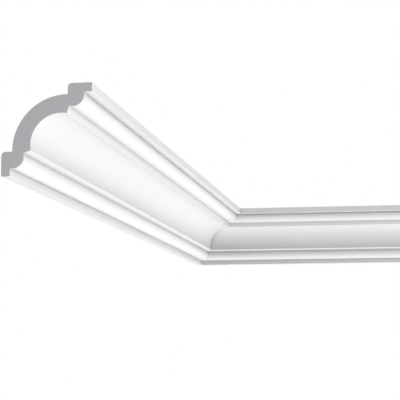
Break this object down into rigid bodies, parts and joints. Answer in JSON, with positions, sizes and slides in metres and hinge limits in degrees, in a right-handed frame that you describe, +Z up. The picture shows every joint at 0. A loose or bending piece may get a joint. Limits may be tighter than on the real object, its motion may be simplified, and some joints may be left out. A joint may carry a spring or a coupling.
{
  "type": "cornice moulding length",
  "caption": "White cove cornice with a flat edge, a bead and a lip along each side of the cove: a long length mitred to a short one for the inside corner of a room.",
  "frame": {"origin": "middle of the left length's wall bed, on the plane of the left wall; the room's corner is at 0, 0.6185, 0.08885 m, where the left wall, the back wall and the ceiling meet", "axes": "+X out from the left wall and along the back wall, +Y along the left wall towards the back wall, +Z up to the ceiling, which is the plane Z = 0.08885 m"},
  "size_m": [0.412, 1.237, 0.0999],
  "materials": {
    "white_primer": "smooth matt white primer on moulded foam",
    "cut_face": "plain mid-grey sawn face"
  },
  "bodies": {
    "root": {"left_length": "white_primer", "right_length": "white_primer"}
  },
  "joints": []
}
